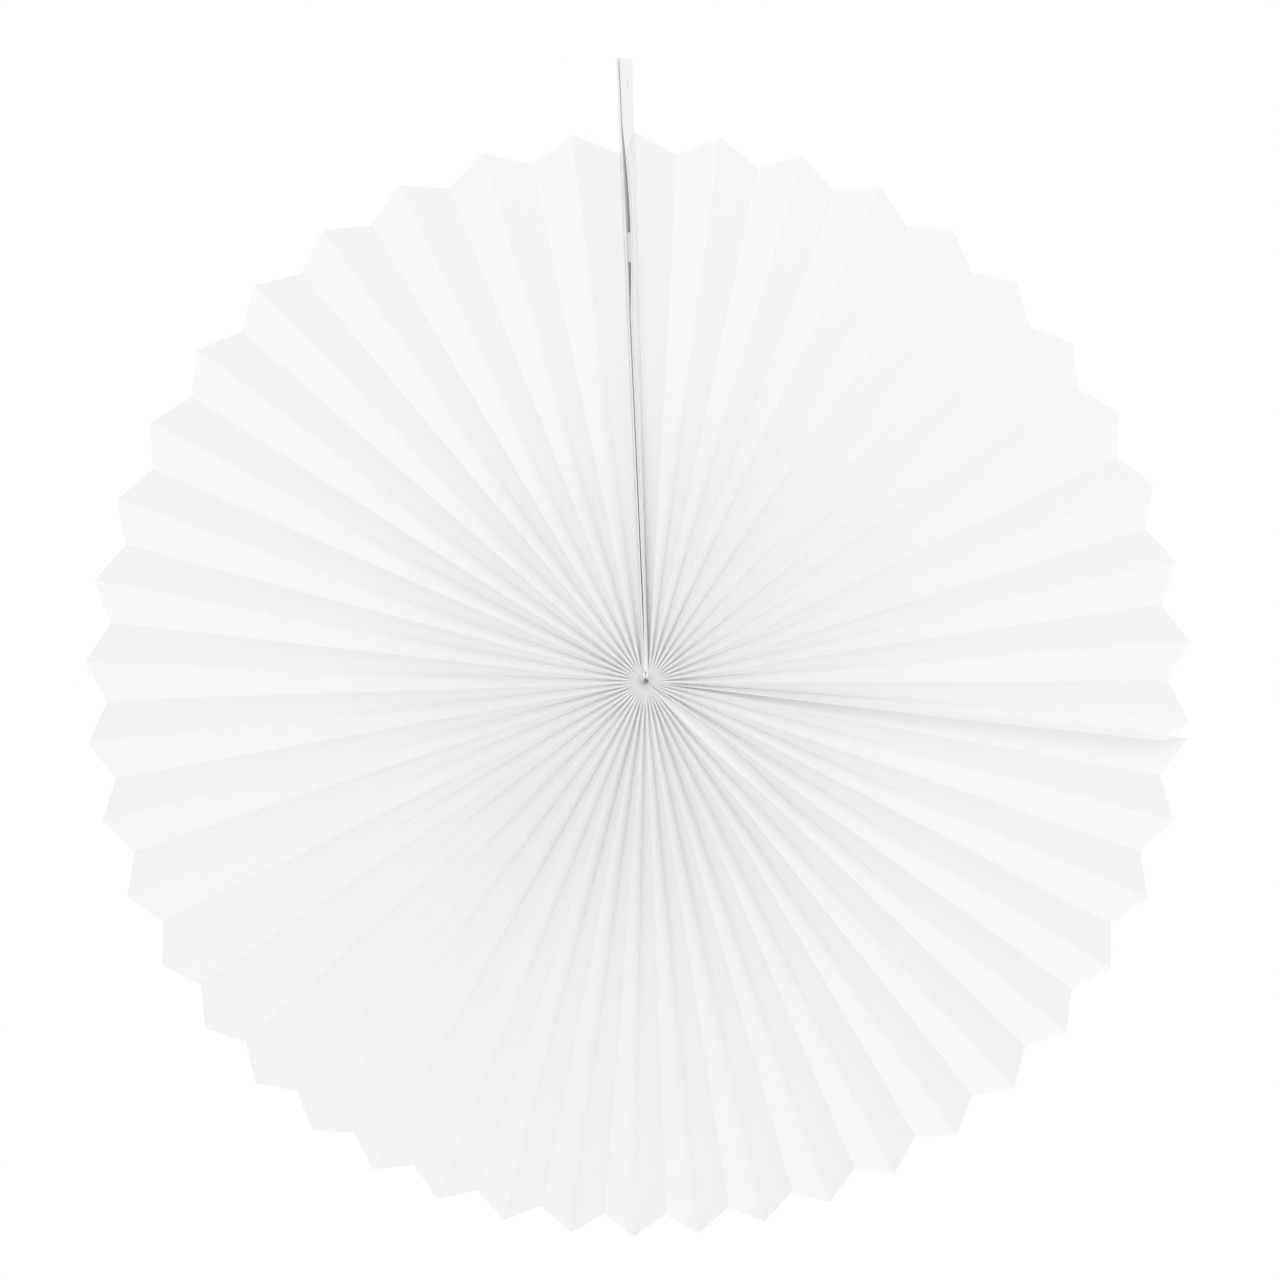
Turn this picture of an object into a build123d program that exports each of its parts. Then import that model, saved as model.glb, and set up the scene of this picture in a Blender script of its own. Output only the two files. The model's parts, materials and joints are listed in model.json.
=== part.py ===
from build123d import *
import os
from math import asin, cos, degrees, pi, radians, sin, sqrt

# An accordion paper fan that hangs by its two end cards: two strips of paper folded into pleats,
# glued end to end, threaded together at their inner ends and opened round into a disc.
# Millimetres and degrees. The origin is the centre of the hang hole, +Z is up and the front faces -Y.
# The hub is the line along Y that the pleats meet on. Azimuths run clockwise from the top, seen from
# the front. A pleat is a front ridge with the two panels that fall back from it, one to each side.

hub_drop = 220.0  # hang hole to hub
hub_radius = 2.8  # hub to the inner ends of the folds
rim_radius = 203.5  # hub to the outer end of a back crease, on average
rim_shift = 3.3  # the round outline is this far off the hub
rim_shift_azimuth = 252.0
ridge_cut = 8.5  # how much sooner a front ridge ends, because the panels are cut on the slant
panel_width = 17.0  # crease to crease, across the paper
paper = 0.1
clearance = 0.05  # between one pleat and the next

card = 0.8
card_gap = 0.4  # between the two end cards
card_bow = 1.4  # the gap is this much wider in front, where the right card's front edge bows out
bow_start = 135.0  # hub to where the bow starts
bow_end = 205.0
bow_steps = 6
card_reach = 229.3  # hub to the upper ends of the cards
card_twist = 14.0  # the cards stand edge on at the hub and are turned this far at their upper ends
hang_hole_radius = 1.6

pad_reach = 159.5  # hub to the middle of the adhesive pad between the cards
pad_height = 11.0
pad_width = 13.0

thread_radius = 3.6  # hub to the middle of the thread's ring
thread = 0.25  # radius of the thread itself
thread_hole = 0.42
knot_reach = 1.5  # hub to the knot
knot = 0.7

# Azimuths and widths of the pleats, in degrees at the rim. They are wide at the top and tight at the
# bottom. At the seam the first sheet's free front edge is glued over the second sheet's first panel.
sheet_1_pleats = 11
sheet_1_widths = (8.95, 8.45)
sheet_1_end = 96.25
seam_ridge = 98.5
sheet_2_start = 98.0
tightening_pleats = 12
tightening_widths = (8.8, 6.5)
tightest = 189.75
widening_pleats = 20
widening_widths = (7.0, 9.4)
sheet_2_end = 354.25

hub = Vector(0, 0, -hub_drop)
half_width = panel_width / 2
card_outer = card_gap / 2 + card
slab = card_outer + paper  # the cards and the two end panels glued on them reach this far to each side


def spread(start, end, widths, count):
    """Azimuths from start to end in count steps, which change evenly from the first width to the last."""
    steps = [widths[0] + (widths[1] - widths[0]) * n / (count - 1) for n in range(count)]
    azimuths = [start]
    for step in steps:
        azimuths.append(azimuths[-1] + step * (end - start) / sum(steps))
    return azimuths


def rim(azimuth):
    """How far the outline is from the hub along an azimuth."""
    return rim_radius + rim_shift * cos(radians(azimuth - rim_shift_azimuth))


def relief(width):
    """How far the folds stand off the middle plane at the rim where the pleats are this wide."""
    across = rim_radius * radians(width) / 2
    return sqrt(panel_width**2 - across**2) / 2


def around(azimuth, distance, depth):
    """A point by its azimuth, its distance from the hub and its depth, which is towards the back."""
    return hub + Vector(distance * sin(radians(azimuth)), depth, distance * cos(radians(azimuth)))


def slab_point(across, depth, distance):
    """A point on one of the straight lines along the twisted cards, named by its place at the hub."""
    turn = radians(card_twist)
    near = hub + Vector(across, depth, hub_radius)
    far = hub + Vector(
        across * cos(turn) + depth * sin(turn), depth * cos(turn) - across * sin(turn), card_reach
    )
    return near + (far - near) * ((distance - hub_radius) / (card_reach - hub_radius))


def front_bow(distance):
    """How far the right card's front edge bows out, this far from the hub."""
    share = (distance - bow_start) / (bow_end - bow_start)
    return card_bow * sin(pi * min(1, max(0, share)))


# Each fold is a straight line, given as its hub end and its rim end. The hub ends are evenly spaced.
slab_start = sqrt(hub_radius**2 - slab**2)
first_crease = (slab_point(slab, half_width, slab_start), slab_point(slab, half_width, rim(0)))
last_ridge = (
    slab_point(-card_outer, -half_width, slab_start),
    slab_point(-card_outer, -half_width, rim(0) - ridge_cut),
)
first_azimuth = degrees(asin((first_crease[1] - hub).X / rim(0)))
crease_azimuths = (
    spread(first_azimuth, sheet_1_end, sheet_1_widths, sheet_1_pleats)
    + spread(sheet_2_start, tightest, tightening_widths, tightening_pleats)
    + spread(tightest, sheet_2_end, widening_widths, widening_pleats)[1:]
)
pleats = len(crease_azimuths)
hub_start = degrees(asin(slab / hub_radius))
hub_step = (360 - 2 * hub_start) / (2 * pleats - 1)

widths = [b - a for a, b in zip(crease_azimuths, crease_azimuths[1:])]
creases = [first_crease]
ridges = []
for n, width in enumerate(widths):
    ridge_azimuth = (crease_azimuths[n] + crease_azimuths[n + 1]) / 2
    if n == sheet_1_pleats:
        ridge_azimuth = seam_ridge
    crease_azimuth = crease_azimuths[n + 1]
    mean_width = (width + widths[min(n + 1, len(widths) - 1)]) / 2
    ridges.append(
        (
            around(hub_start + hub_step * (2 * n + 1), hub_radius, -half_width),
            around(ridge_azimuth, rim(ridge_azimuth) - ridge_cut, -relief(width)),
        )
    )
    creases.append(
        (
            around(hub_start + hub_step * (2 * n + 2), hub_radius, half_width),
            around(crease_azimuth, rim(crease_azimuth), relief(mean_width)),
        )
    )
ridges.append(last_ridge)

hub_plane = Plane(origin=hub, x_dir=(1, 0, 0), z_dir=(0, -1, 0))
with BuildPart(hub_plane) as thread_bore:
    Torus(thread_radius, thread_hole)


def outward_plane(ridge):
    """Looks out along a ridge: x runs across the pleat, y to the back and z outwards."""
    out = Vector(ridge[1].X - hub.X, 0, ridge[1].Z - hub.Z)
    return Plane(origin=hub, x_dir=(out.Z, 0, -out.X), z_dir=out)


def panel_end(base, ridge, foot, side, lap):
    """The paper cut across at one end of a panel. The side is -1 for left of the ridge, 1 for right."""
    ridge = base.to_local_coords(ridge)
    foot = base.to_local_coords(foot)
    slant = base.y_dir * (foot.Y - ridge.Y) + base.z_dir * (foot.Z - ridge.Z)
    ridge_x = ridge.X + side * lap * paper / 2
    foot_x = foot.X - side * clearance / 2
    foot_width = paper * Vector(foot_x - ridge_x, slant.length).length / slant.length
    corner = base.from_local_coords(Vector(0, ridge.Y, ridge.Z))
    with BuildSketch(Plane(origin=corner, x_dir=base.x_dir, z_dir=base.x_dir.cross(slant))) as end:
        with BuildLine():
            Polyline(
                (ridge_x - side * paper / 2, 0),
                (ridge_x + side * paper / 2, 0),
                (foot_x, slant.length),
                (foot_x - side * foot_width, slant.length),
                close=True,
            )
        make_face()
    return end.sketch


def panel(ridge, crease, side, lap=0):
    """A panel from a ridge back to a crease. With a lap of 1 it stays on its own side of the ridge."""
    base = outward_plane(ridge)
    with BuildPart() as made:
        loft([panel_end(base, ridge[end], crease[end], side, lap) for end in (0, 1)], ruled=True)
        add(thread_bore.part, mode=Mode.SUBTRACT)
    return made.part


def layer(inner, outer):
    """One layer of the slab, between two distances off its middle, over the cards' whole length."""
    bowed = [bow_start + (bow_end - bow_start) * n / bow_steps for n in range(bow_steps + 1)]
    sections = []
    for distance in (hub_radius, *bowed, card_reach):
        corners = []
        for across, depth in ((inner, 1), (outer, 1), (outer, -1), (inner, -1)):
            corner = slab_point(across, depth * half_width, distance)
            shift = front_bow(distance) if depth < 0 < across else 0
            corners.append((corner.X + shift, corner.Y))
        with BuildSketch(Plane.XY.offset(distance - hub_drop)) as section:
            with BuildLine():
                Polyline(*corners, close=True)
            make_face()
        sections.append(section.sketch)
    with BuildPart() as made:
        loft(sections, ruled=True)
        add(thread_bore.part, mode=Mode.SUBTRACT)
    return made.part


def save(name, part):
    part.label = name
    export_step(part, f"parts/{name}.step")


os.makedirs("parts", exist_ok=True)

# The two end cards, with the hang hole through both
card_across = (slab_point(0, half_width, hub_drop) - slab_point(0, -half_width, hub_drop)).normalized()
hang_plane = Plane(origin=(0, 0, 0), x_dir=(0, 0, 1), z_dir=(card_across.Y, -card_across.X, 0))
for name, side in (("card_left", -1), ("card_right", 1)):
    with BuildPart() as end_card:
        add(layer(side * card_gap / 2, side * card_outer))
        with BuildSketch(hang_plane):
            Circle(hang_hole_radius)
        extrude(amount=2 * slab, both=True, mode=Mode.SUBTRACT)
    save(name, end_card.part)

# The adhesive pad on the right card, just clear of the left one
with BuildPart() as adhesive_pad:
    add(layer(clearance - card_gap / 2, card_gap / 2))
    with BuildSketch(Plane.XY.offset(pad_reach - pad_height / 2 - hub_drop)):
        Rectangle(panel_width, pad_width)
    extrude(amount=pad_height, mode=Mode.INTERSECT)
save("adhesive_pad", adhesive_pad.part)

# The thread, a ring through every pleat and card, knotted where its ends come out between the cards
with BuildPart(hub_plane) as centre_thread:
    Torus(thread_radius, thread)
    with BuildSketch(Plane(origin=hub + Vector(0, 0, knot_reach), z_dir=(0, 0, 1))):
        Circle(thread)
    extrude(amount=thread_radius - knot_reach)
    with Locations((0, knot_reach, 0)):
        Sphere(knot)
save("centre_thread", centre_thread.part)

# The end panels lie flat on the cards and are cut on the slant at the rim like all the others
rim_cut = slab_point(slab, half_width, rim(0)) - slab_point(slab, -half_width, rim(0) - ridge_cut)
rim_plane = Plane(origin=first_crease[1], x_dir=(1, 0, 0), z_dir=Vector(1, 0, 0).cross(rim_cut))
with BuildPart() as first_panel:
    add(layer(card_outer, slab))
    split(bisect_by=rim_plane, keep=Keep.BOTTOM)
save("sheet_1_first_panel", first_panel.part)

with BuildPart() as last_pleat:
    add(layer(-slab, -card_outer))
    split(bisect_by=rim_plane, keep=Keep.BOTTOM)
    add(panel(last_ridge, creases[-1], -1, lap=1))
save("sheet_2_last_pleat", last_pleat.part)

# The seam's two panels are glued along the seam ridge
seam = ridges[sheet_1_pleats]
save("sheet_1_last_panel", panel(seam, creases[sheet_1_pleats], -1, lap=1))
save("sheet_2_first_panel", panel(seam, creases[sheet_1_pleats + 1], 1, lap=1))

# All the other pleats
for n, ridge in enumerate(ridges[:-1]):
    if n == sheet_1_pleats:
        continue
    with BuildPart() as pleat:
        add(panel(ridge, creases[n], -1))
        add(panel(ridge, creases[n + 1], 1))
    sheet, number = (1, n + 1) if n < sheet_1_pleats else (2, n - sheet_1_pleats)
    save(f"sheet_{sheet}_pleat_{number:02}", pleat.part)
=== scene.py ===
import json
import math
import random

import bpy
import numpy as np
from mathutils import Matrix, Vector


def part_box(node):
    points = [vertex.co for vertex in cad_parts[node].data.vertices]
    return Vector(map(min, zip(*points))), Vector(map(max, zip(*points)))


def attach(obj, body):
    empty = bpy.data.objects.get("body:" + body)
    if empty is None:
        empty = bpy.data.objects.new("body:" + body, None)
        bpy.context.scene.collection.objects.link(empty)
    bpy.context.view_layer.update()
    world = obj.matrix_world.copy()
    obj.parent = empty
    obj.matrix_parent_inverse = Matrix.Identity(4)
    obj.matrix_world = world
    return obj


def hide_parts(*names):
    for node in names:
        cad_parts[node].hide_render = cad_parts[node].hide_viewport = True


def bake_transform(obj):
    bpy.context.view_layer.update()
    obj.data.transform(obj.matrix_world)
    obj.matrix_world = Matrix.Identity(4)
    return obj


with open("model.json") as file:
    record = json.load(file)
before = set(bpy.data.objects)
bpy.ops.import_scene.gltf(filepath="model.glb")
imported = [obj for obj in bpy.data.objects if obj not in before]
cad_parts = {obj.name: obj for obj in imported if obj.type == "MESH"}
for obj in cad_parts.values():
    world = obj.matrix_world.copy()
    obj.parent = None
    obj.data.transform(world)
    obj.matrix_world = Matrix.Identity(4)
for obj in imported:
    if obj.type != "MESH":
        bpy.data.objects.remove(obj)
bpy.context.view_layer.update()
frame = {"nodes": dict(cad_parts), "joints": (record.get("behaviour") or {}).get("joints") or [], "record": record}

# A white accordion paper fan, opened round, that hangs by its two end cards. Metres; +Z up, front -Y.
# The straight folds are read from the CAD solids. The paper is made here as valleys: the two panels from
# one front ridge back to a crease and forward to the next ridge.

chance = random.Random(45)

MM = 0.001
tolerance = 0.1 * MM
hub_zone = 3.1 * MM  # the folds' inner ends are this close to the hub
rim_zone = 9.2 * MM  # and the slanted cut at the rim is this deep
fold_pitch = 17.0 * MM  # from fold to fold across the flat paper

ridge_opening = 1.3 * MM  # the front ridges crowd in to this distance from the hub
crease_opening = 0.5 * MM  # and the back creases to this one
rows_along = 30
row_crowding = 1.35  # rows are closer together near the hub
swell_lean = 0.8  # a fold's bow is widest a little nearer the hub than its middle
paper_thickness = 0.09 * MM
ridge_wander = 0.45 * MM  # how far a ridge bows off its straight line
depth_wander = 0.30 * MM
crowd_wander = 0.25 * MM  # and how far its crowded inner part does
crowded_share = 0.22  # that part's share of a fold
pressed_share = 0.36  # the pressing and the parting fade out over this share of a fold
loose_press = (5.5 * MM, 11.0 * MM)  # how far forward a crease is pressed at the hub
parting = 134.0  # azimuth of the one panel that lies broad and almost flat near the hub
parting_reach = 3.0  # its crease is this near to it, in degrees
parting_press = 10.5 * MM
parting_swing = 3.3  # how far the folds are pushed aside beside it, in degrees
parting_spread = 14.0
seam_lift = 4.0 * MM  # how much shallower the valley beside the seam is than the others, at the rim
cap_half_width = 0.40 * MM  # a ridge is rounded over this much to each side
cap_share = 0.85  # or over this much of the way to the creases, near the hub
cap_depth = 0.12 * MM
cap_softness = 0.4  # how much of that a ridge's top is lowered by
cap_place = 0.60 * MM  # across the flat paper, the rounding starts about this far from the ridge
seam_overhang = 0.6 * MM  # how far the first sheet's free edge stands past the seam

thread_radius = 0.22 * MM
knot_thinning = 0.8  # the knot is pulled tight
knot_size = 0.16 * MM
knot_steps = 40
knot_depth = 5.0 * MM  # this far in front of the middle plane
tail_depth = 8.75 * MM
tail_steps = 12

bodies = frame["record"]["behaviour"]["bodies"]
folds = sorted(name for name in bodies if name != "hanger")
seam_fold = next(n for n, body in enumerate(folds) if "sheet_1_last_panel" in bodies[body])
hinges = [Vector(joint["pos_m"]) for joint in frame["joints"]]
thread_low, thread_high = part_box("centre_thread")
hub = Vector(((thread_low.x + thread_high.x) / 2, 0, (thread_low.z + thread_high.z) / 2))
depth_axis = Vector((0, 1, 0))


# ---------------------------------------------------------------- fold lines


def middle(points):
    return Vector(points.mean(axis=0))


def sheet_nodes(body):
    """The names of a body's paper nodes."""
    return [name for name in bodies[body] if name.startswith("sheet")]


def fold_ends(body):
    """The hub end and the rim end of a body's left crease, ridge and right crease."""
    points = np.array([v.co for name in sheet_nodes(body) for v in frame["nodes"][name].data.vertices])
    x, depth, z = points[:, 0] - hub.x, points[:, 1], points[:, 2] - hub.z
    reach = np.hypot(x, z)
    azimuth = np.arctan2(x, z)
    azimuth = (azimuth - azimuth[np.argmax(reach)] + math.pi) % (2 * math.pi) - math.pi
    near = reach < hub_zone
    far = reach > reach.max() - rim_zone
    near_back = near & (depth > depth[near].max() - tolerance)
    near_split = (azimuth[near_back].min() + azimuth[near_back].max()) / 2
    far_split = (azimuth[far].min() + azimuth[far].max()) / 2
    creases = []
    for side in (-1, 1):
        near_side = near_back & (side * (azimuth - near_split) >= 0)
        far_side = far & (side * (azimuth - far_split) >= 0)
        far_side &= reach > reach[far_side].max() - tolerance
        creases.append((middle(points[near_side]), middle(points[far_side])))
    ridge = tuple(middle(points[zone & (depth < depth[zone].min() + tolerance)]) for zone in (near, far))
    return creases[0], ridge, creases[1]


def fold_path(line, bow, lift, opening, pressed=0.0, swing=0.0):
    """Points out along a fold. It starts at the edge of the hub's opening and bows off its straight line.
    Where the pleats are crowded round the hub it can be pressed towards the front and swung clockwise."""
    near, far = line
    across = (far - near).cross(depth_axis).normalized()
    inward = Vector((near.x - hub.x, 0, near.z - hub.z))
    path = [near - inward * (1 - opening / inward.length) - depth_axis * pressed]
    path[0] = hub + Matrix.Rotation(math.radians(swing), 3, depth_axis) @ (path[0] - hub)
    for n in range(rows_along):
        share = (n / (rows_along - 1)) ** row_crowding
        swell = math.sin(math.pi * share**swell_lean)
        sway = math.sin(2 * math.pi * share) * share
        crowd = math.sin(math.pi * min(1, share / crowded_share))
        flat = math.cos(math.pi / 2 * min(1, share / pressed_share)) ** 2
        point = near.lerp(far, share) + across * (bow[0] * swell + bow[1] * sway + bow[2] * crowd)
        point += depth_axis * (lift[0] * swell + lift[1] * sway - pressed * flat)
        turn = Matrix.Rotation(math.radians(swing) * flat, 3, depth_axis)
        path.append(hub + turn @ (point - hub))
    return path


def uneven(size, crowded=0.0):
    """Three random sizes for a fold's bows: over its whole length, its outer half, and near the hub."""
    return (
        chance.uniform(-size, size),
        chance.uniform(-size, size) / 2,
        chance.uniform(-crowded, crowded),
    )


def azimuth_of(line):
    """The azimuth of a fold's rim end, in degrees clockwise from the top."""
    out = line[1] - hub
    return math.degrees(math.atan2(out.x, out.z)) % 360


def swung_by(line):
    """How far the parting pushes a fold aside near the hub, in degrees clockwise."""
    off = azimuth_of(line) - parting
    return math.copysign(parting_swing * math.exp(-abs(off) / parting_spread), off)


def follow(path, node):
    """A straight path moved sideways onto the front edge of a CAD strip, which bows."""
    near, far = path[1], path[-1]
    places, moves = [], []
    for vertex in frame["nodes"][node].data.vertices:
        place = (vertex.co.z - near.z) / (far.z - near.z)
        beside = near.lerp(far, place)
        if abs(vertex.co.y - beside.y) < tolerance:
            places.append(place)
            moves.append(vertex.co.x - beside.x)
    order = np.argsort(places)
    edge = (np.array(places)[order], np.array(moves)[order])
    across = Vector((1, 0, 0))
    return [p + across * np.interp((p.z - near.z) / (far.z - near.z), *edge) for p in path]


ends = [fold_ends(body) for body in folds]
crease_lines = [ends[0][0]]
for one, following in zip(ends, ends[1:]):
    crease_lines.append(tuple((a + b) / 2 for a, b in zip(one[2], following[0])))
near_end, far_end = crease_lines[seam_fold + 1]
crease_lines[seam_fold + 1] = (near_end, far_end - depth_axis * seam_lift)

ridges = []
for _, line, _ in ends:
    bow, lift = uneven(ridge_wander, crowd_wander), uneven(depth_wander)
    ridges.append(fold_path(line, bow, lift, ridge_opening, swing=swung_by(line)))
straight = (0, 0, 0)
creases = []
for number, line in enumerate(crease_lines):
    lift, pressed, swing = uneven(depth_wander), chance.uniform(*loose_press), swung_by(line)
    if number == seam_fold + 1:
        lift = (-seam_lift, 0, 0)
    if abs(azimuth_of(line) - parting) < parting_reach:
        pressed, swing = parting_press, 2 * swing
    creases.append(fold_path(line, straight, lift, crease_opening, pressed, swing))
creases[0] = fold_path(crease_lines[0], straight, straight, crease_opening)
ridges[-1] = fold_path(ends[-1][1], straight, straight, ridge_opening)
last_edge = fold_path(ends[-1][2], straight, straight, crease_opening)
first_edge = fold_path(fold_ends("hanger")[1], straight, straight, ridge_opening)
first_edge = follow(first_edge, "sheet_1_first_panel")


# ---------------------------------------------------------------- meshes


def mesh_object(name, points, faces, uv=None, sharp_columns=(), columns=1):
    """A smooth mesh that stays sharp at its border and, in a grid, along the sharp columns."""
    mesh = bpy.data.meshes.new(name)
    mesh.from_pydata([tuple(p) for p in points], [], faces)
    mesh.shade_smooth()
    if uv:
        layer = mesh.uv_layers.new(name="flat")
        for loop in mesh.loops:
            layer.data[loop.index].uv = uv[loop.vertex_index]
    uses = {}
    for face in mesh.polygons:
        for key in face.edge_keys:
            uses[key] = uses.get(key, 0) + 1
    for edge in mesh.edges:
        a, b = edge.vertices
        along = a % columns == b % columns and a % columns in sharp_columns
        edge.use_edge_sharp = along or uses[edge.key] == 1
    piece = bpy.data.objects.new(name, mesh)
    bpy.context.scene.collection.objects.link(piece)
    return piece


def shoulder(ridge, foot):
    """The line beside a ridge where its rounding starts, on the panel that falls back to foot."""
    line = []
    for top, bottom in zip(ridge, foot):
        across = Vector((bottom.x - top.x, 0, bottom.z - top.z))
        width = min(cap_half_width, cap_share * across.length)
        fall = min(cap_depth * width / cap_half_width, (bottom.y - top.y) * width / across.length)
        line.append(top + across.normalized() * width + depth_axis * fall)
    return line


def rounded(ridge, beside):
    """A ridge lowered to the middle of its rounding."""
    return [top.lerp(Vector((top.x, low.y, top.z)), cap_softness) for top, low in zip(ridge, beside)]


def paper(name, lines, flat, sharp):
    """A piece of the folded sheet through lines of points; flat is each line's place on the flat paper."""
    columns = len(lines)
    rows = len(lines[0])
    points, uv = [], []
    for row in range(rows):
        for line, place in zip(lines, flat):
            points.append(line[row])
            uv.append((place, Vector((line[row].x - hub.x, line[row].z - hub.z)).length))
    faces = []
    for row in range(rows - 1):
        for column in range(columns - 1):
            corner = row * columns + column
            faces.append((corner, corner + 1, corner + columns + 1, corner + columns))
    piece = mesh_object(name, points, faces, uv, sharp, columns)
    thicken = piece.modifiers.new("thickness", "SOLIDIFY")
    thicken.thickness = paper_thickness
    thicken.offset = 0
    piece.data.materials.append(materials["paper"])
    return piece


def valley(name, left, crease, right, number):
    """The paper from one ridge back to a crease and forward to the next ridge."""
    left_beside, right_beside = shoulder(left, crease), shoulder(right, crease)
    middle_place = 2 * number * fold_pitch
    lines = [rounded(left, left_beside), left_beside, crease, right_beside, rounded(right, right_beside)]
    flat = [-fold_pitch, cap_place - fold_pitch, 0, fold_pitch - cap_place, fold_pitch]
    return paper(name, lines, [middle_place + place for place in flat], (2,))


def tube(name, path, radius, sides=10):
    """A round thread along a path, closed at its ends."""
    points, faces = [], []
    normal = depth_axis
    for n, point in enumerate(path):
        tangent = (path[min(n + 1, len(path) - 1)] - path[max(n - 1, 0)]).normalized()
        normal = (normal - tangent * normal.dot(tangent)).normalized()
        side = tangent.cross(normal)
        for k in range(sides):
            turn = 2 * math.pi * k / sides
            points.append(point + radius * (normal * math.cos(turn) + side * math.sin(turn)))
    for n in range(len(path) - 1):
        for k in range(sides):
            a, b = n * sides + k, n * sides + (k + 1) % sides
            faces.append((a, b, b + sides, a + sides))
    faces.append(tuple(reversed(range(sides))))
    faces.append(tuple(range(len(points) - sides, len(points))))
    piece = mesh_object(name, points, faces)
    piece.data.materials.append(materials["thread"])
    return piece


# ---------------------------------------------------------------- materials


class Nodes:
    """A material with one Principled shader, and short calls that add and join its nodes."""

    def __init__(self, name):
        self.material = bpy.data.materials.new(name)
        self.material.use_nodes = True
        self.tree = self.material.node_tree
        self.shader = self.tree.nodes["Principled BSDF"]

    def add(self, kind, inputs=None, **settings):
        node = self.tree.nodes.new(kind)
        for key, value in settings.items():
            setattr(node, key, value)
        for key, value in (inputs or {}).items():
            if isinstance(value, bpy.types.NodeSocket):
                self.tree.links.new(value, node.inputs[key])
            else:
                node.inputs[key].default_value = value
        return node

    def noise(self, place, scale, detail=4.0, roughness=0.55):
        """A cloudy value from 0 to 1."""
        settings = {"Vector": place, "Scale": scale, "Detail": detail, "Roughness": roughness}
        return self.add("ShaderNodeTexNoise", settings).outputs["Fac"]

    def blend(self, share, low, high):
        """A value between two numbers."""
        inputs = {"Value": share, "To Min": low, "To Max": high}
        return self.add("ShaderNodeMapRange", inputs).outputs["Result"]

    def math(self, operation, a, b=0.0):
        return self.add("ShaderNodeMath", {0: a, 1: b}, operation=operation).outputs[0]

    def tint(self, share, dark, light):
        """A colour between two colours."""
        node = self.add("ShaderNodeMix", data_type="RGBA")
        share_socket, dark_socket, light_socket = (node.inputs[n] for n in (0, 6, 7))
        self.tree.links.new(share, share_socket)
        dark_socket.default_value = (*dark, 1)
        light_socket.default_value = (*light, 1)
        return node.outputs[2]

    def bump(self, height, distance, strength=1.0, under=None):
        inputs = {"Height": height, "Distance": distance, "Strength": strength}
        if under is not None:
            inputs["Normal"] = under
        return self.add("ShaderNodeBump", inputs).outputs["Normal"]

    def finish(self, **inputs):
        """Join the shader's inputs, named with _ for each space, and give the material."""
        for key, value in inputs.items():
            socket = self.shader.inputs[key.replace("_", " ")]
            if isinstance(value, bpy.types.NodeSocket):
                self.tree.links.new(value, socket)
            else:
                socket.default_value = value
        return self.material


def paper_material():
    """Uncoated white paper: cloudy formation, fine fibre, and fibres roughed up along each fold."""
    nodes = Nodes("white_paper")
    place = nodes.add("ShaderNodeTexCoord").outputs["UV"]
    clouds = nodes.noise(place, 260.0, 5.0)
    soft = nodes.noise(place, 45.0, 2.0)
    stretch = nodes.add("ShaderNodeMapping", {"Vector": place, "Scale": (5200.0, 1900.0, 1.0)})
    fibre = nodes.noise(stretch.outputs["Vector"], 1.0, 3.0, 0.6)
    across = nodes.add("ShaderNodeSeparateXYZ", {"Vector": place}).outputs["X"]
    from_fold = nodes.math("PINGPONG", across, fold_pitch / 2)
    wear_width = 0.6 * MM
    fall_off = {"Value": from_fold, "From Max": wear_width, "To Min": 1.0, "To Max": 0.0}
    worn = nodes.add("ShaderNodeMapRange", fall_off).outputs["Result"]
    formation = nodes.math("ADD", nodes.blend(clouds, 0.25, 0.75), nodes.blend(soft, -0.15, 0.15))
    tone = nodes.math("SUBTRACT", formation, nodes.math("MULTIPLY", worn, 0.5))
    colour = nodes.tint(tone, (0.955, 0.955, 0.953), (0.980, 0.980, 0.980))
    grain = nodes.bump(fibre, 0.012 * MM, 0.6)
    relief = nodes.bump(clouds, 0.05 * MM, 0.5, grain)
    return nodes.finish(
        Base_Color=colour,
        Roughness=nodes.blend(clouds, 0.80, 0.92),
        Specular_IOR_Level=0.3,
        Sheen_Weight=0.05,
        Sheen_Roughness=0.6,
        Subsurface_Weight=1.0,
        Subsurface_Radius=(1.0, 1.0, 1.0),
        Subsurface_Scale=0.12 * MM,
        Normal=relief,
    )


def card_material():
    """Stiff white card with pressed fibre; its cut front and back edges are painted greyer, a painted shade for
    the shadow of the pleats beside them.
    """
    nodes = Nodes("white_card")
    place = nodes.add("ShaderNodeTexCoord").outputs["Object"]
    clouds = nodes.noise(place, 320.0, 4.0)
    fibre = nodes.noise(place, 2600.0, 3.0, 0.6)
    normal = nodes.add("ShaderNodeNewGeometry").outputs["Normal"]
    outward = nodes.add("ShaderNodeSeparateXYZ", {"Vector": normal}).outputs["Y"]
    # painted shade: faces that look to the front or back, the card's cut edges, are darkened
    edge = nodes.math("GREATER_THAN", nodes.math("ABSOLUTE", outward), 0.8)
    tone = nodes.math("SUBTRACT", nodes.blend(clouds, 0.5, 1.0), nodes.math("MULTIPLY", edge, 0.5))
    colour = nodes.tint(tone, (0.84, 0.84, 0.832), (0.985, 0.985, 0.98))
    return nodes.finish(
        Base_Color=colour,
        Roughness=nodes.blend(fibre, 0.72, 0.85),
        Specular_IOR_Level=0.35,
        Subsurface_Weight=1.0,
        Subsurface_Radius=(1.0, 1.0, 1.0),
        Subsurface_Scale=0.5 * MM,
        Normal=nodes.bump(fibre, 0.015 * MM, 0.6, nodes.bump(clouds, 0.04 * MM, 0.5)),
    )


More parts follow.
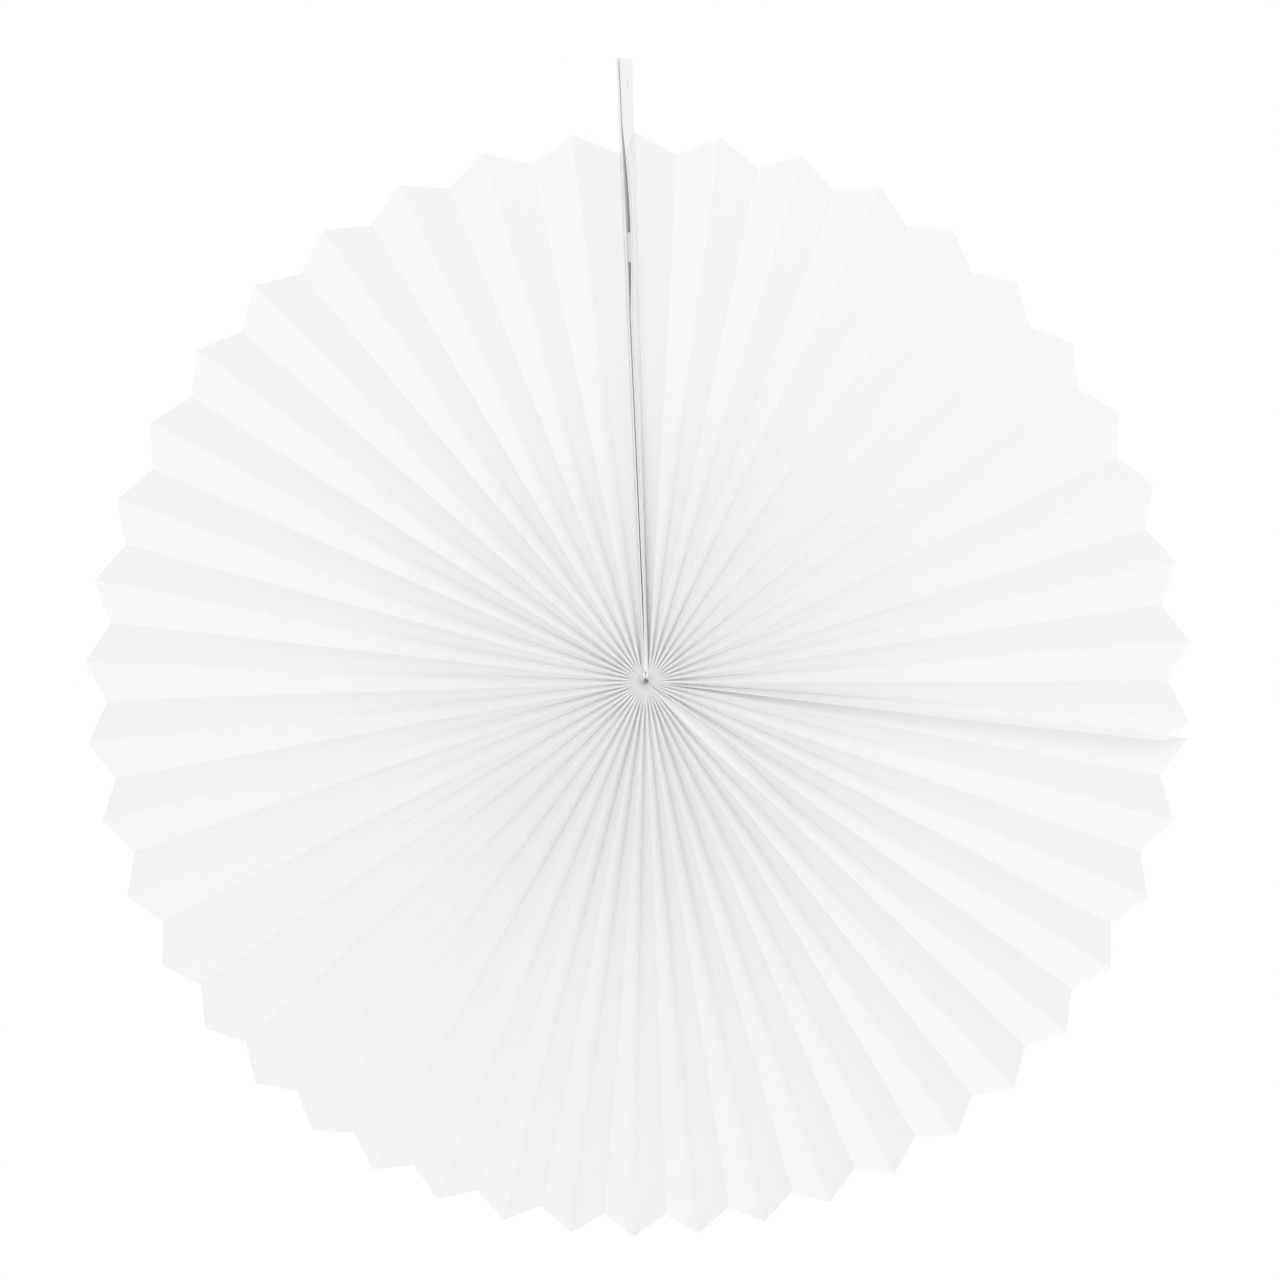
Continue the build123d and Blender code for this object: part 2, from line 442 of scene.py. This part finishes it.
def pad_material():
    """White foam tape: fine open cells, painted darker in the pit of each cell as painted shade."""
    nodes = Nodes("foam_tape")
    place = nodes.add("ShaderNodeTexCoord").outputs["Object"]
    cells_and_pit_shade = nodes.add("ShaderNodeTexVoronoi", {"Vector": place, "Scale": 3600.0}).outputs["Distance"]
    # painted shade: the colour is darker where the cell height is low, in its pit
    colour = nodes.tint(cells_and_pit_shade, (0.80, 0.80, 0.785), (0.92, 0.92, 0.91))
    return nodes.finish(
        Base_Color=colour,
        Roughness=nodes.blend(cells_and_pit_shade, 0.62, 0.8),
        Subsurface_Weight=0.1,
        Subsurface_Scale=0.4 * MM,
        Normal=nodes.bump(cells_and_pit_shade, 0.06 * MM, 0.7),
    )


def thread_material():
    """Twisted white cotton: slanted plies with loose fibre, painted darker down in the grooves between the plies
    as painted shade.
    """
    nodes = Nodes("cotton_thread")
    place = nodes.add("ShaderNodeTexCoord").outputs["Object"]
    plies_and_groove_shade = nodes.add(
        "ShaderNodeTexWave",
        {"Vector": place, "Scale": 1500.0, "Distortion": 1.5, "Detail": 2.0},
        bands_direction="DIAGONAL",
    ).outputs["Fac"]
    fluff = nodes.noise(place, 7000.0, 3.0)
    # painted shade: the colour is darker where the ply height is low, in the grooves
    colour = nodes.tint(plies_and_groove_shade, (0.50, 0.50, 0.49), (0.82, 0.82, 0.80))
    return nodes.finish(
        Base_Color=colour,
        Roughness=nodes.blend(fluff, 0.75, 0.95),
        Sheen_Weight=0.3,
        Sheen_Roughness=0.5,
        Normal=nodes.bump(plies_and_groove_shade, 0.08 * MM, 0.8),
    )


def floor_material():
    """A pale painted floor with a faint roller texture."""
    nodes = Nodes("pale_floor")
    place = nodes.add("ShaderNodeTexCoord").outputs["Object"]
    stipple = nodes.noise(place, 60.0, 4.0)
    colour = nodes.tint(stipple, (0.82, 0.82, 0.82), (0.86, 0.86, 0.86))
    return nodes.finish(
        Base_Color=colour,
        Roughness=nodes.blend(stipple, 0.7, 0.85),
        Normal=nodes.bump(stipple, 1.0 * MM, 0.2),
    )


materials = {
    "paper": paper_material(),
    "card": card_material(),
    "pad": pad_material(),
    "thread": thread_material(),
    "floor": floor_material(),
}


# ---------------------------------------------------------------- paper


def past(line, direction_from, distance):
    """A line moved on by a distance, in the direction that the panel reaches it from."""
    return [p + (p - q).normalized() * distance for p, q in zip(line, direction_from)]


# A crease is meant to end up in line with its two ridges when the fan is shut, but strays by up to some
# millimetres.

first_beside = shoulder(ridges[0], creases[0])
first_valley = paper(
    "sheet_1_valley_00",
    [first_edge, creases[0], first_beside, rounded(ridges[0], first_beside)],
    [-fold_pitch, 0, fold_pitch - cap_place, fold_pitch],
    (1,),
)
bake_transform(first_valley)
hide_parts(*sheet_nodes("hanger"))

for number in range(1, len(folds)):
    left, crease, right = ridges[number - 1], creases[number], ridges[number]
    sheet, count = (1, number) if number <= seam_fold else (2, number - seam_fold)
    if number == seam_fold:
        right = past(right, crease, seam_overhang)
    piece = valley(f"sheet_{sheet}_valley_{count:02}", left, crease, right, number)
    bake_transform(piece)
    nodes = sheet_nodes(folds[number - 1])
    if number - 1 == seam_fold:
        nodes = ["sheet_2_first_panel"]
    elif number == seam_fold:
        nodes.append("sheet_1_last_panel")
    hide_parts(*nodes)

last_panel = paper(
    "sheet_2_end_panel",
    [ridges[-1], last_edge],
    [(2 * len(folds) - 1) * fold_pitch, 2 * len(folds) * fold_pitch],
    (),
)
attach(last_panel, folds[-1])
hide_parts(*sheet_nodes(folds[-1]))


# ---------------------------------------------------------------- thread


def ring_arc(start, end):
    """The thread's ring from one hinge to the next, a little past both, round the hub."""
    a, b = start - hub, end - hub
    turn = a.angle(b)
    steps = 4
    path = []
    for n in range(-1, steps + 2):
        share = n / steps
        spin = Matrix.Rotation(turn * share, 3, depth_axis)
        path.append(hub + spin @ a)
    return path


def around_hub(degrees, distance, depth):
    """A point by its azimuth, clockwise from the top, its distance from the hub and its depth."""
    turn = math.radians(degrees)
    return hub + Vector((distance * math.sin(turn), depth, distance * math.cos(turn)))


def knot_path():
    """In from the ring, a trefoil for the knot in the hub's opening, and a tail that curls out in front."""
    path = [around_hub(0, 3.5 * MM, 0), around_hub(0, 2.2 * MM, 0.4 * MM), around_hub(0, 1.2 * MM, 1.2 * MM)]
    knot_place = hub - depth_axis * knot_depth
    for n in range(knot_steps):
        turn = 2 * math.pi * n / knot_steps
        path.append(
            knot_place
            + knot_size * Vector((math.sin(turn) + 2 * math.sin(2 * turn), 1.4 * math.sin(3 * turn), 0))
            + knot_size * Vector((0, 0, math.cos(turn) - 2 * math.cos(2 * turn)))
        )
    path += [around_hub(300, 0.4 * MM, 0), around_hub(300, 0.7 * MM, -4.0 * MM)]
    path.append(around_hub(290, 1.0 * MM, -7.8 * MM))
    for n in range(tail_steps):
        path.append(around_hub(280 - 90 * n / (tail_steps - 1), 1.4 * MM, -tail_depth))
    return path


for number, body in enumerate(folds[:-1]):
    segment = tube(f"thread_{number + 1:02}", ring_arc(hinges[number], hinges[number + 1]), thread_radius)
    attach(segment, body)

knot = tube("thread_knot", knot_path(), thread_radius * knot_thinning)
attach(knot, "hanger")
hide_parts("centre_thread")

# ---------------------------------------------------------------- cards and pad

for node, name in (("card_left", "card"), ("card_right", "card"), ("adhesive_pad", "pad")):
    slots = frame["nodes"][node].data.materials
    slots.clear()
    slots.append(materials[name])


# ---------------------------------------------------------------- room, light and camera

floor_size = 4.0
floor_height = -0.9
floor_cells = 8
surround_strength = 0.92
key_side = math.radians(60)  # clockwise from the top
key_forward = 0.9  # how far the key light is in front of the fan, for 1 to its side
key_distance = 2.5
key_size = 1.6
key_power = 5.0
camera_distance = 5.0
frame_width = 0.471  # what the camera takes in at the fan
lean = math.radians(2.0)  # the fan hangs this far off plumb in the picture
image_right = Vector((math.cos(lean), 0, -math.sin(lean)))
image_up = Vector((math.sin(lean), 0, math.cos(lean)))
view_centre = hub - image_right * 2.2 * MM + image_up * 15.1 * MM
sensor = 36.0


def facing(place, right, up):
    """The matrix of a camera or light at a place, which looks along up cross right."""
    back = right.cross(up)
    axes = Matrix((right, up, back)).transposed().to_4x4()
    return Matrix.Translation(place) @ axes


def floor_plane():
    columns = floor_cells + 1
    places = [floor_size * (n / floor_cells - 0.5) for n in range(columns)]
    points = [Vector((x, y, floor_height)) for y in places for x in places]
    faces = []
    for row in range(floor_cells):
        for column in range(floor_cells):
            corner = row * columns + column
            faces.append((corner, corner + 1, corner + columns + 1, corner + columns))
    floor = mesh_object("floor", points, faces)
    floor.data.materials.append(materials["floor"])


def soft_light(name, place, size, power):
    """A large square light that faces the hub."""
    data = bpy.data.lights.new(name, "AREA")
    data.shape = "SQUARE"
    data.size = size
    data.energy = power
    light = bpy.data.objects.new(name, data)
    light.rotation_euler = (hub - place).to_track_quat("-Z", "Y").to_euler()
    light.location = place
    bpy.context.scene.collection.objects.link(light)


def white_world(light_strength):
    """A white surround that lights the fan evenly; the camera sees it as pure white."""
    world = bpy.data.worlds.new("white")
    bpy.context.scene.world = world
    world.use_nodes = True
    tree = world.node_tree
    background = tree.nodes["Background"]
    background.inputs["Color"].default_value = (1, 1, 1, 1)
    path = tree.nodes.new("ShaderNodeLightPath")
    strength = tree.nodes.new("ShaderNodeMapRange")
    strength.inputs["To Min"].default_value = light_strength
    strength.inputs["To Max"].default_value = 1.0
    tree.links.new(path.outputs["Is Camera Ray"], strength.inputs["Value"])
    tree.links.new(strength.outputs["Result"], background.inputs["Strength"])


floor_plane()
white_world(surround_strength)
key_direction = Vector((math.sin(key_side), -key_forward, math.cos(key_side))).normalized()
soft_light("key", hub + key_direction * key_distance, key_size, key_power)

camera_data = bpy.data.cameras.new("camera")
camera_data.sensor_width = sensor
camera_data.lens = sensor * camera_distance / frame_width
camera = bpy.data.objects.new("camera", camera_data)
bpy.context.scene.collection.objects.link(camera)
camera.matrix_world = facing(view_centre - depth_axis * camera_distance, image_right, image_up)
bpy.context.scene.camera = camera
bpy.context.scene.view_settings.view_transform = "Standard"
bpy.context.scene.cycles.max_bounces = 24
bpy.context.scene.cycles.diffuse_bounces = 24
